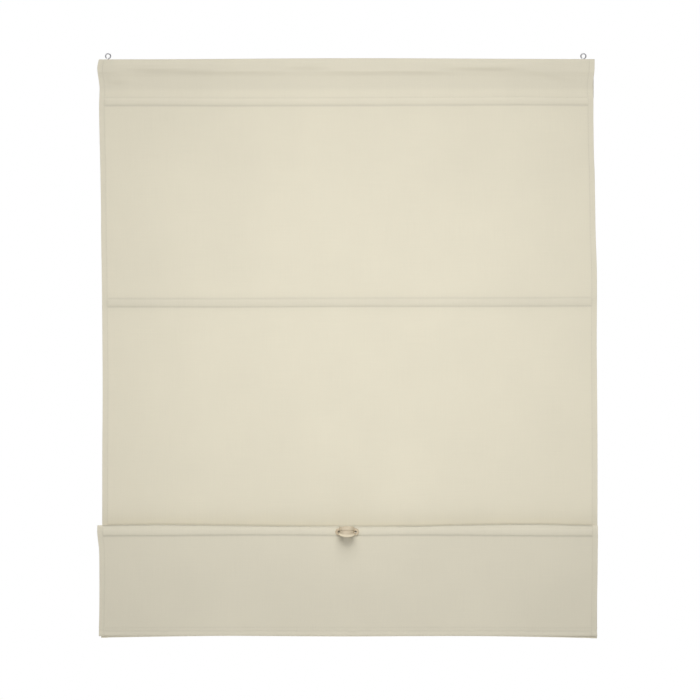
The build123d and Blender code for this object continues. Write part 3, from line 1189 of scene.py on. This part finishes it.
@dataclass
class Sleeve:
    """A cotton sleeve sewn behind the cloth, which holds one rod."""

    rod: str
    length: float = 976.0
    thickness: float = 0.44
    flange_gap: float = 0.9
    half: float = 8.25
    margin: float = 2.0
    step: float = 14.0
    lean: float = 0.0  # of the upper flange, where the cloth leans back over the rod
    slot_half: float = 2.2
    slot_tall: float = 6.2
    puff: float = 1.1  # how far the sleeve stands off the back of its rod
    slotted: bool = False
    sheet_y: float = 0.0
    rise: float = 0.0
    drift: float = 0.0

    def __post_init__(self) -> None:
        """Lay the sleeve's route round its rod."""
        low, high = in_mm(self.rod)
        mid = middle(self.rod)
        self.z = mid.z
        flange = self.sheet_y + self.flange_gap
        bulge = high.y + self.puff
        seam = mid.z + self.rise
        reach = self.half + self.margin
        self.route = Route(
            [
                (flange, seam - reach),
                (flange, seam - self.half),
                (bulge, low.z),
                (bulge, high.z),
                (flange + self.lean, seam + self.half),
                (flange + self.lean, seam + reach),
            ],
            [1.5, 3.5, 3.5, 1.5],
        )

    def place(self, across: float, along: float, out: float = 0.0) -> Vector:
        """Sewn position of a flat place.

        Args:
            across: The distance from the middle, in millimetres.
            along: The distance round the sleeve, from its lower edge.
            out: How far off its outer face to go.

        Returns:
            The position in metres.
        """
        here = self.route.at(along)
        (y, z), (side_y, side_z) = here.point, here.right_side
        end = smooth_step(self.length / 2 - 26, self.length / 2, abs(across))
        slack = math.sin(math.pi * along / self.route.length) ** 2
        off = out + slack * (
            0.30 * math.sin(across / 37) + 0.22 * math.sin(across / 17 + 1) + 0.9 * end
        )
        wander = 0.5 * math.sin(across / 150 + self.z)
        return MM * Vector(
            (across + self.drift, y + side_y * off, z + side_z * off + wander * slack)
        )

    def stitch_draw_and_painted_shade(self, across: float, along: float) -> float:
        """How strongly the stitches draw in a flat place, from 0 to 1, which also sets the painted
        shade along them.
        """
        near = min(abs(along - self.margin), abs(along - self.route.length + self.margin))
        return bell(near, 0.0, 1.8)

    def build(self, finishes: Finishes) -> bpy.types.Object:
        """Build the sleeve.

        Args:
            finishes: The blind's materials.

        Returns:
            The sleeve's object.
        """
        half = self.length / 2
        across = spread(-half, half, self.step)
        across += [way * (half - d) for d in (0.6, 3.0, 7.0, 12.0) for way in (-1, 1)]
        hooks = [hook.x for hook in pair("rod_hook")] if self.slotted else []
        for x in hooks:
            across += [x - self.drift - self.slot_half, x - self.drift + self.slot_half]
        along = self.route.stops(1.6, 20.0) + [0.6, self.route.length - 0.6]
        # the stitch attribute also paints shade along the sleeve's stitches
        bm = laid(merged(across, 0.3), merged(along, 0.3), self.place, {STITCH_DRAW_AND_PAINTED_SHADE: self.stitch_draw_and_painted_shade})

        def in_slot(c: Vector) -> bool:
            """Whether a place in metres falls in a hook's slot."""
            return abs(c.z - self.z * MM) < self.slot_tall * MM and any(
                abs(c.x - x * MM) < self.slot_half * MM for x in hooks
            )

        cut_out(bm, in_slot)
        piece = hang(bm, f"{self.rod}_sleeve", Slot.COTTON, [finishes.by_slot[Slot.COTTON]])
        solid(piece, self.thickness)
        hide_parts(f"{self.rod}_tape")
        return piece


@dataclass
class Stitching:
    """Lines of lockstitch, each stitch a short length of thread drawn into the cloth."""

    pitch: float = 3.2
    length: float = 2.5
    thread: float = 0.44
    sink: float = 0.06

    def sew(
        self,
        name: str,
        lines: Sequence[Curve],
        ends: Sequence[tuple[float, float]],
        finishes: Finishes,
    ) -> bpy.types.Object:
        """Sew lines of stitches into one piece.

        Args:
            name: The piece's name.
            lines: For each line, the thread's position in metres at a distance in millimetres.
            ends: Where each line starts and stops.
            finishes: The blind's materials.

        Returns:
            The piece.
        """
        bm, stitch = bmesh.new(), bmesh.new()
        bmesh.ops.create_uvsphere(stitch, u_segments=6, v_segments=4, radius=1.0)
        scratch = bpy.data.meshes.new("stitch")
        for line, (start, stop) in zip(lines, ends):
            for i in range(int((stop - start) / self.pitch)):
                at = start + (i + 0.5) * self.pitch
                a, b = line(at - self.length / 2), line(at + self.length / 2)
                thick, long = self.thread / 2 * MM, (b - a).length / 2
                turn = (b - a).to_track_quat("Z", "Y").to_matrix().to_4x4()
                one = stitch.copy()
                size = Matrix.Diagonal((thick, thick, long, 1))
                one.transform(Matrix.Translation((a + b) / 2) @ turn @ size)
                one.to_mesh(scratch)
                one.free()
                bm.from_mesh(scratch)
        stitch.free()
        bpy.data.meshes.remove(scratch)
        return hang(bm, name, Slot.COTTON, [finishes.thread])


@dataclass
class Handle:
    """A strip of leather bowed into a finger loop, creased along its middle."""

    thickness: float = 2.0
    reach: float = 27.5
    belly_inset: float = 4.0
    belly_flat: float = 4.0
    lean: float = -1.4
    foot_gap: float = 6.3
    foot_bend: float = 2.0
    waist_bend: float = 6.0
    shoulder: float = 1.0
    crease: float = 1.5
    crease_at: float = 0.10
    crease_width: float = 0.09
    flare: float = 2.4
    brow: float = 0.8
    lip: float = 0.66  # how far down the cut edge is rolled to the front
    perk: float = 3.6  # how far the loop stands up above its tabs
    tab_tall: float = 7.0  # half the height of a tab, and the radius of its end
    hole: float = 3.3  # its radius in each tab
    hole_depth: float = 1.2  # how far off the tab a hole still cuts
    rows: int = 28

    def __post_init__(self) -> None:
        """Take the strip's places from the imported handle."""
        low, high = in_mm("handle_strap")
        eyelets = [eyelet.x for eyelet in pair("handle_eyelet")]
        self.centre = (eyelets[0] + eyelets[1]) / 2
        self.span = eyelets[1] - eyelets[0]
        self.z = (low.z + high.z) / 2
        self.tall = (high.z - low.z) / 2 - 0.8
        self.tab_y = high.y - 1.1
        self.end = self.span / 2 + self.tab_tall
        radius = self.span / 2 - self.belly_inset
        bend = radius - self.belly_flat / 2
        belly_y = self.tab_y - self.reach + 1.1 + radius
        belly_x = self.centre + self.lean
        foot = 5.8 + self.foot_gap
        self.route = Route(
            [
                (self.centre - self.end, self.tab_y),
                (eyelets[0] + foot, self.tab_y),
                (belly_x - radius, belly_y + radius / 2),
                (belly_x - radius, belly_y - radius),
                (belly_x + radius, belly_y - radius),
                (belly_x + radius, belly_y + radius / 2),
                (eyelets[1] - foot, self.tab_y),
                (self.centre + self.end, self.tab_y),
            ],
            [self.foot_bend, self.waist_bend, bend, bend, self.waist_bend, self.foot_bend],
        )

    def half_width(self, x: float, roundness: float) -> float:
        """Half the strip's width where it passes a place across."""
        off = abs(x - self.centre)
        lens = 1 - (off / (self.span / 2 + self.shoulder)) ** 2
        tab = self.tab_tall**2 - max(0.0, off - self.span / 2) ** 2
        return max(math.sqrt(max(tab, 0.05)), self.tall * max(lens, 0.0) ** roundness)

    def place(self, along: float, share: float) -> Vector:
        """Position of a place on the strip.

        Args:
            along: The distance along the strip.
            share: From -1 at its lower edge to 1 at its upper.

        Returns:
            The position in metres.
        """
        here = self.route.at(along)
        (x, y), (out_x, out_y) = here.point, here.right_side
        wide = self.half_width(x, 0.5 if share < 0 else 0.22)
        front = smooth_step(0.0, 14.0, self.tab_y - y - 1.0)
        out = -front * self.crease * bell(share, self.crease_at, self.crease_width)
        out += front * self.flare * smooth_step(-0.45, -1.3, share) * 2
        out += front * self.brow * (smooth_step(0.0, 0.5, share) - smooth_step(0.45, 1.0, share))
        height = self.z + share * wide + front * self.perk
        return MM * Vector((x + out_x * out, y + out_y * out, height))

    def build(self, finishes: Finishes) -> bpy.types.Object:
        """Build the strip.

        Args:
            finishes: The blind's materials.

        Returns:
            The strip's object.
        """
        along = merged(self.route.stops(1.5, 9.0), 0.3)
        near_crease = (-0.16, -0.11, -0.07, -0.035, 0, 0.035, 0.07, 0.11, 0.16)
        across = spread(-1.0, 1.0, 2 / self.rows) + [self.crease_at + d for d in near_crease]
        bm = laid(along, merged(across, 0.02), self.place)
        holes = [(eyelet.x * MM, eyelet.z * MM) for eyelet in pair("handle_eyelet")]

        def in_hole(c: Vector) -> bool:
            """Whether a place in metres falls in a tab's hole."""
            return abs(c.y - self.tab_y * MM) < self.hole_depth * MM and any(
                math.hypot(c.x - x, c.z - z) < self.hole * MM for x, z in holes
            )

        cut_out(bm, in_hole)
        flat = bm.loops.layers.uv.active
        for face in bm.faces:
            share = sum(loop[flat].uv.y for loop in face.loops) / len(face.loops) / MM
            if share < -self.lip and face.calc_center_median().y < (self.tab_y - 8) * MM:
                face.material_index = 1
        piece = hang(
            bm, "handle_leather", Slot.LEATHER, [finishes.by_slot[Slot.LEATHER], finishes.cut_edge]
        )
        solid(piece, self.thickness, rim=1)
        edge = piece.modifiers.new("soft_edge", "BEVEL")
        edge.width = 0.3 * MM
        edge.segments = 2
        edge.limit_method = "ANGLE"
        edge.angle_limit = math.radians(50)
        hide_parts("handle_strap")
        return piece


# --- studio -----------------------------------------------------------------------------------


@dataclass
class Studio:
    """Plain pale floor, white surroundings, soft lights and the camera."""

    distance: float = 3.2
    view_width: float = 1.414
    aim_x: float = 0.0086
    aim_z: float = -0.5936
    sensor: float = 36.0
    floor_z: float = -1.95
    floor_radius: float = 2.4
    fill: float = 0.24

    def build(self) -> None:
        """Build the whole studio."""
        self.camera()
        self.floor()
        self.surroundings()
        self.sun("key", (-0.03, -1.0, 1.10), 1.66, 44.0)
        self.box("front_fill", (0.06, -1.1, -0.37), (0.06, 0.0, -0.37), 0.8, 6.35)
        self.box("under_fill", (0.0, -0.25, -1.80), (0.0, -0.01, -1.17), 0.8, 1.8)
        self.box("back_fill", (0.10, 2.0, -0.45), (0.05, 0.0, -0.45), 1.3, 11.0)

    def camera(self) -> None:
        """Stand the camera square in front of the blind."""
        data = bpy.data.cameras.new("camera")
        data.sensor_width = self.sensor
        data.lens = self.sensor * self.distance / self.view_width
        data.clip_end = 50.0
        eye = placed("camera", data)
        eye.location = (self.aim_x, -self.distance, self.aim_z)
        eye.rotation_euler = (math.radians(90), 0.0, 0.0)
        bpy.context.scene.camera = eye

    def floor(self) -> None:
        """Lay a round pale floor well below the blind."""
        bm = bmesh.new()
        bmesh.ops.create_circle(
            bm,
            cap_ends=True,
            segments=96,
            radius=self.floor_radius,
            matrix=Matrix.Translation((0, 0, self.floor_z)),
        )
        data = bpy.data.meshes.new("floor")
        bm.to_mesh(data)
        bm.free()
        g = Graph("pale_floor")
        cloud = g.noise(g.object_space((1, 1, 1)), 2.0, 3.0)
        shader = g.add(
            "ShaderNodeBsdfPrincipled",
            {
                "Base Color": g.blend(cloud, linear(236, 235, 232), linear(244, 243, 240)),
                "Roughness": g.span(cloud, 0.3, 0.7, 0.7, 0.8),
            },
        )
        data.materials.append(g.finish(shader))
        placed("floor", data)

    def surroundings(self) -> None:
        """Show white all round, and let it light the blind softly."""
        world = bpy.data.worlds.new("studio")
        bpy.context.scene.world = world
        world.use_nodes = True
        nodes, links = world.node_tree.nodes, world.node_tree.links
        nodes.clear()
        seen, lit = nodes.new("ShaderNodeBackground"), nodes.new("ShaderNodeBackground")
        seen.inputs["Color"].default_value = (1.0, 1.0, 1.0, 1.0)
        lit.inputs["Color"].default_value = (1.0, 1.0, 1.0, 1.0)
        lit.inputs["Strength"].default_value = self.fill
        path, mix = nodes.new("ShaderNodeLightPath"), nodes.new("ShaderNodeMixShader")
        out = nodes.new("ShaderNodeOutputWorld")
        links.new(path.outputs["Is Camera Ray"], mix.inputs[0])
        links.new(lit.outputs[0], mix.inputs[1])
        links.new(seen.outputs[0], mix.inputs[2])
        links.new(mix.outputs[0], out.inputs["Surface"])
        bpy.context.scene.view_settings.view_transform = "Standard"

    def sun(
        self, name: str, towards: tuple[float, float, float], strength: float, angle: float
    ) -> None:
        """Add a soft far light.

        Args:
            name: The light's name.
            towards: The direction from the blind to the light.
            strength: Its strength.
            angle: How wide it looks from the blind, in degrees.
        """
        data = bpy.data.lights.new(name, "SUN")
        data.energy = strength
        data.angle = math.radians(angle)
        light = placed(name, data)
        light.rotation_euler = Vector(towards).to_track_quat("Z", "Y").to_euler()

    def box(
        self,
        name: str,
        place: tuple[float, float, float],
        aim: tuple[float, float, float],
        size: float,
        power: float,
    ) -> None:
        """Add a square softbox.

        Args:
            name: The light's name.
            place: Where it stands, in metres.
            aim: What it points at.
            size: The length of its sides.
            power: Its power in watts.
        """
        data = bpy.data.lights.new(name, "AREA")
        data.energy = power
        data.size = size
        light = placed(name, data)
        light.location = place
        away = Vector(place) - Vector(aim)
        light.rotation_euler = away.to_track_quat("Z", "Y").to_euler()
        light.visible_camera = False


# --- the whole blind --------------------------------------------------------------------------


class RomanBlind:
    """The blind's soft pieces and the finishes of its packed ones."""

    def __init__(self) -> None:
        """Build the materials and lay the cloth's route."""
        self.finishes = Finishes()
        self.cloth = Cloth()
        self.stitching = Stitching()

    def dress_packed(self) -> None:
        """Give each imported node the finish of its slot."""
        by_name = {slot.value: slot for slot in Slot}
        for name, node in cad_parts.items():
            for i, material in enumerate(node.data.materials):
                slot = by_name.get(material.name.split(".")[0]) if material else None
                if slot is not None:
                    node.data.materials[i] = self.finishes.by_slot[slot]
            log.info("%s: %s", name, [m.name for m in node.data.materials])

    def sleeves(self) -> list[tuple[Sleeve, bpy.types.Object]]:
        """Build the three sleeves."""
        cloth = self.cloth
        plans = [
            Sleeve("rod_2", drift=6.3),
            Sleeve("rod_3", drift=7.0, slotted=True),
            Sleeve(
                "rod_4",
                drift=2.4,
                slotted=True,
                sheet_y=cloth.panel_y,
                rise=cloth.seam_rise - 0.1,
                lean=1.8,
            ),
        ]
        return [(plan, plan.build(self.finishes)) for plan in plans]

    def seam_line(self, along: float, out: float) -> Curve:
        """Line of thread across the cloth at a seam, a distance off its face."""
        return lambda x: self.cloth.place(x, along, out)

    def sleeve_line(self, sleeve: Sleeve, along: float, out: float) -> Curve:
        """Line of thread across a sleeve, a distance off its outer face."""
        return lambda x: sleeve.place(x, along, out)

    def side_line(self, side: Side, out: float) -> Curve:
        """Line of thread down a side hem, a distance off the cloth's face."""
        x = side.value * (self.cloth.width / 2 - self.cloth.hem_stitch)
        return lambda along: self.cloth.place(x, along, out)

    def sew(self, sleeves: Sequence[tuple[Sleeve, bpy.types.Object]]) -> dict[str, list]:
        """Sew every seam.

        Args:
            sleeves: The sleeves and their objects.

        Returns:
            The stitched pieces by the cloth they go with.
        """
        cloth, st = self.cloth, self.stitching
        face = cloth.thickness / 2 - st.sink
        inner = cloth.width / 2 - cloth.hem_stitch - 1.0
        ends = (-inner, inner)
        made: dict[str, list] = {"cloth": []}
        marks = cloth.route.corner_marks
        back = [marks[0] + 0.2, marks[3] - 0.2]
        lines = [self.seam_line(s, face) for s in cloth.pockets[0]]
        lines += [self.seam_line(s, face) for s in back]
        made["cloth"].append(st.sew("header_stitching", lines, [ends] * 4, self.finishes))
        for (sleeve, _), pocket in zip(sleeves, cloth.pockets[1:]):
            lines = [self.seam_line(s, face) for s in pocket]
            lines += [
                self.sleeve_line(sleeve, s, face)
                for s in (sleeve.margin, sleeve.route.length - sleeve.margin)
            ]
            reach = sleeve.length / 2 - 2
            spans = [ends, ends, (-reach, reach), (-reach, reach)]
            made[sleeve.rod] = [
                st.sew(f"{sleeve.rod}_stitching", lines, spans, self.finishes)
            ]
        hem = [cloth.hem_seam_at, cloth.route.length - cloth.pocket_margin]
        lines = [self.seam_line(s, face) for s in hem]
        made["cloth"].append(st.sew("hem_stitching", lines, [ends] * 2, self.finishes))
        for side in Side:
            under = -2 * cloth.hem_turn - face
            lines = [self.side_line(side, face), self.side_line(side, under)]
            span = (2.0, cloth.route.length - 2.0)
            made["cloth"].append(
                st.sew(f"side_hem_stitching_{side.word}", lines, [span] * 2, self.finishes)
            )
        return made

    def build(self) -> None:
        """Build every piece."""
        self.dress_packed()
        cloth = self.cloth.build(self.finishes)
        sleeves = self.sleeves()
        made = self.sew(sleeves)
        Handle().build(self.finishes)


def main() -> None:
    """Build the studio and the blind."""
    logging.basicConfig(level=logging.INFO, format="%(name)s: %(message)s")
    Studio().build()
    RomanBlind().build()


if __name__ == "__main__":
    main()
